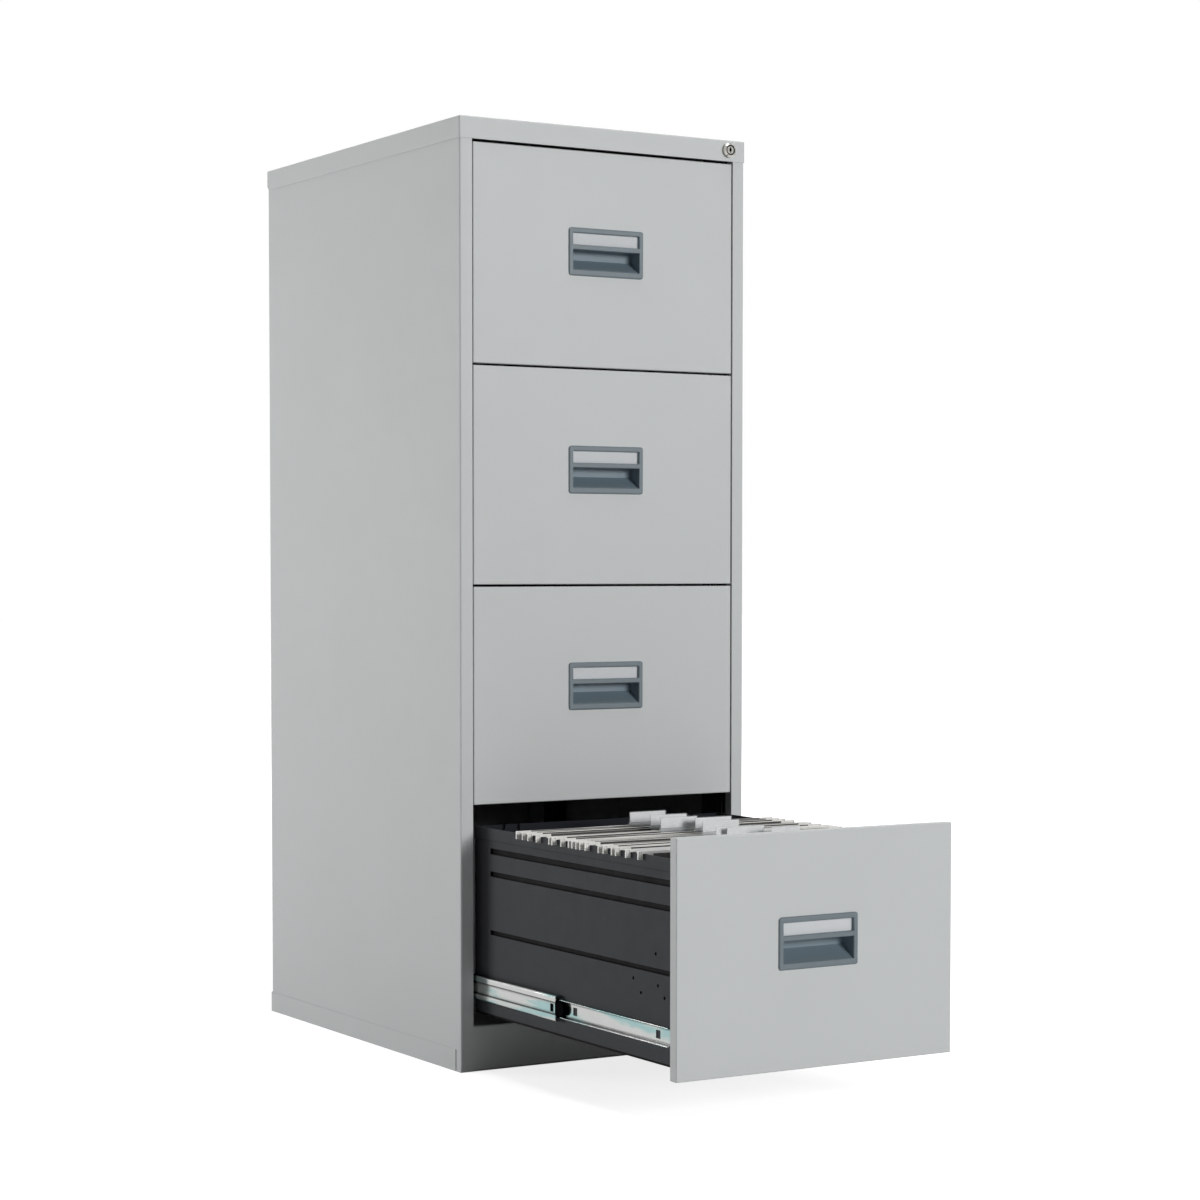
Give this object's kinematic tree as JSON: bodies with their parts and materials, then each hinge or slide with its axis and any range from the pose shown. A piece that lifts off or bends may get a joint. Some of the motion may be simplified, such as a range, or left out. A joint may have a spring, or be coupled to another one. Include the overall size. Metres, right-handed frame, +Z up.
{
  "type": "filing cabinet",
  "caption": "Tall free-standing steel filing cabinet with stacked drawers on ball-bearing slides, recessed label handles, a corner lock and a bottom drawer drawn out with hanging files.",
  "frame": {"origin": "middle of the footprint, on the underside of the base pan", "axes": "+Z up, +X to the right seen from the front, drawers open towards -Y"},
  "size_m": [0.465, 1.132, 1.3],
  "materials": {
    "painted_steel": "light grey powder coat, fine satin texture",
    "frame_steel": "dark grey powder coat",
    "drawer_steel": "dark grey powder coat, satin",
    "zinc_steel": "bright zinc plate with a blue-green passivation tint",
    "cage_steel": "plain strip steel and polished balls",
    "cage_plastic": "black moulded plastic",
    "handle_plastic": "blue-grey moulded plastic, satin",
    "label_card": "blank pale grey card",
    "lock_metal": "nickel-plated die casting",
    "file_bar": "off-white bar with white hooks",
    "file_card": "buff manila",
    "tab_plastic": "clear holder with a blank white insert"
  },
  "bodies": {
    "carcass": {"base_pan": "painted_steel", "left_side_panel": "painted_steel", "right_side_panel": "painted_steel", "back_panel": "painted_steel", "top_cover": "painted_steel", "plinth": "painted_steel", "top_rail": "painted_steel", "left_uprights": "frame_steel", "right_uprights": "frame_steel", "lock_housing": "lock_metal", "slide_1_cabinet_members": "zinc_steel", "slide_2_cabinet_members": "zinc_steel", "slide_3_cabinet_members": "zinc_steel", "slide_4_cabinet_members": "zinc_steel"},
    "lock_core": {"lock_plug": "lock_metal", "lock_cam": "zinc_steel"},
    "lock_bar": {"lock_bar": "zinc_steel"},
    "drawer_1": {"drawer_1_front": "painted_steel", "drawer_1_handle": "handle_plastic", "drawer_1_label_card": "label_card", "drawer_1_left_side": "drawer_steel", "drawer_1_right_side": "drawer_steel", "drawer_1_pan": "drawer_steel", "slide_1_drawer_members": "zinc_steel"},
    "middle_1": {"slide_1_middle_members": "zinc_steel"},
    "outer_cage_1": {"slide_1_outer_cages": "cage_steel"},
    "inner_cage_1": {"slide_1_inner_cages": "cage_plastic"},
    "drawer_2": {"drawer_2_front": "painted_steel", "drawer_2_handle": "handle_plastic", "drawer_2_label_card": "label_card", "drawer_2_left_side": "drawer_steel", "drawer_2_right_side": "drawer_steel", "drawer_2_pan": "drawer_steel", "slide_2_drawer_members": "zinc_steel"},
    "middle_2": {"slide_2_middle_members": "zinc_steel"},
    "outer_cage_2": {"slide_2_outer_cages": "cage_steel"},
    "inner_cage_2": {"slide_2_inner_cages": "cage_plastic"},
    "drawer_3": {"drawer_3_front": "painted_steel", "drawer_3_handle": "handle_plastic", "drawer_3_label_card": "label_card", "drawer_3_left_side": "drawer_steel", "drawer_3_right_side": "drawer_steel", "drawer_3_pan": "drawer_steel", "slide_3_drawer_members": "zinc_steel"},
    "middle_3": {"slide_3_middle_members": "zinc_steel"},
    "outer_cage_3": {"slide_3_outer_cages": "cage_steel"},
    "inner_cage_3": {"slide_3_inner_cages": "cage_plastic"},
    "drawer_4": {"drawer_4_front": "painted_steel", "drawer_4_handle": "handle_plastic", "drawer_4_label_card": "label_card", "drawer_4_left_side": "drawer_steel", "drawer_4_right_side": "drawer_steel", "drawer_4_pan": "drawer_steel", "slide_4_drawer_members": "zinc_steel", "file_bars": "file_bar", "file_leaves": "file_card", "index_tabs": "tab_plastic"},
    "middle_4": {"slide_4_middle_members": "zinc_steel"},
    "outer_cage_4": {"slide_4_outer_cages": "cage_steel"},
    "inner_cage_4": {"slide_4_inner_cages": "cage_plastic"}
  },
  "joints": [
    {"name": "drawer_1_slide", "type": "slide", "parent": "carcass", "child": "drawer_1", "axis": [0, -1, 0], "range_m": [0, 0.509]},
    {"name": "middle_1_slide", "type": "slide", "parent": "carcass", "child": "middle_1", "axis": [0, -1, 0], "range_m": [0, 0.2546]},
    {"name": "outer_cage_1_slide", "type": "slide", "parent": "carcass", "child": "outer_cage_1", "axis": [0, -1, 0], "range_m": [0, 0.12735]},
    {"name": "inner_cage_1_slide", "type": "slide", "parent": "carcass", "child": "inner_cage_1", "axis": [0, -1, 0], "range_m": [0, 0.38185]},
    {"name": "drawer_2_slide", "type": "slide", "parent": "carcass", "child": "drawer_2", "axis": [0, -1, 0], "range_m": [0, 0.509]},
    {"name": "middle_2_slide", "type": "slide", "parent": "carcass", "child": "middle_2", "axis": [0, -1, 0], "range_m": [0, 0.2546]},
    {"name": "outer_cage_2_slide", "type": "slide", "parent": "carcass", "child": "outer_cage_2", "axis": [0, -1, 0], "range_m": [0, 0.12735]},
    {"name": "inner_cage_2_slide", "type": "slide", "parent": "carcass", "child": "inner_cage_2", "axis": [0, -1, 0], "range_m": [0, 0.38185]},
    {"name": "drawer_3_slide", "type": "slide", "parent": "carcass", "child": "drawer_3", "axis": [0, -1, 0], "range_m": [0, 0.509]},
    {"name": "middle_3_slide", "type": "slide", "parent": "carcass", "child": "middle_3", "axis": [0, -1, 0], "range_m": [0, 0.2546]},
    {"name": "outer_cage_3_slide", "type": "slide", "parent": "carcass", "child": "outer_cage_3", "axis": [0, -1, 0], "range_m": [0, 0.12735]},
    {"name": "inner_cage_3_slide", "type": "slide", "parent": "carcass", "child": "inner_cage_3", "axis": [0, -1, 0], "range_m": [0, 0.38185]},
    {"name": "drawer_4_slide", "type": "slide", "parent": "carcass", "child": "drawer_4", "axis": [0, -1, 0], "range_m": [-0.509, 0]},
    {"name": "middle_4_slide", "type": "slide", "parent": "carcass", "child": "middle_4", "axis": [0, -1, 0], "range_m": [-0.2546, 0]},
    {"name": "outer_cage_4_slide", "type": "slide", "parent": "carcass", "child": "outer_cage_4", "axis": [0, -1, 0], "range_m": [-0.12735, 0]},
    {"name": "inner_cage_4_slide", "type": "slide", "parent": "carcass", "child": "inner_cage_4", "axis": [0, -1, 0], "range_m": [-0.38185, 0]},
    {"name": "lock_turn", "type": "hinge", "parent": "carcass", "child": "lock_core", "pos_m": [0.204, -0.311, 1.2855], "axis": [0, -1, 0], "range_deg": [0, 90]},
    {"name": "lock_bar_lift", "type": "slide", "parent": "carcass", "child": "lock_bar", "axis": [0, 0, 1], "range_m": [0, 0.01202]}
  ],
  "couplings": [
    {"joint": "middle_1_slide", "follows": "drawer_1_slide", "ratio": 0.5},
    {"joint": "outer_cage_1_slide", "follows": "drawer_1_slide", "ratio": 0.25},
    {"joint": "inner_cage_1_slide", "follows": "drawer_1_slide", "ratio": 0.75},
    {"joint": "middle_2_slide", "follows": "drawer_2_slide", "ratio": 0.5},
    {"joint": "outer_cage_2_slide", "follows": "drawer_2_slide", "ratio": 0.25},
    {"joint": "inner_cage_2_slide", "follows": "drawer_2_slide", "ratio": 0.75},
    {"joint": "middle_3_slide", "follows": "drawer_3_slide", "ratio": 0.5},
    {"joint": "outer_cage_3_slide", "follows": "drawer_3_slide", "ratio": 0.25},
    {"joint": "inner_cage_3_slide", "follows": "drawer_3_slide", "ratio": 0.75},
    {"joint": "middle_4_slide", "follows": "drawer_4_slide", "ratio": 0.5},
    {"joint": "outer_cage_4_slide", "follows": "drawer_4_slide", "ratio": 0.25},
    {"joint": "inner_cage_4_slide", "follows": "drawer_4_slide", "ratio": 0.75},
    {"joint": "lock_turn", "follows": "lock_bar_lift", "rad_per_m": 130.66}
  ]
}
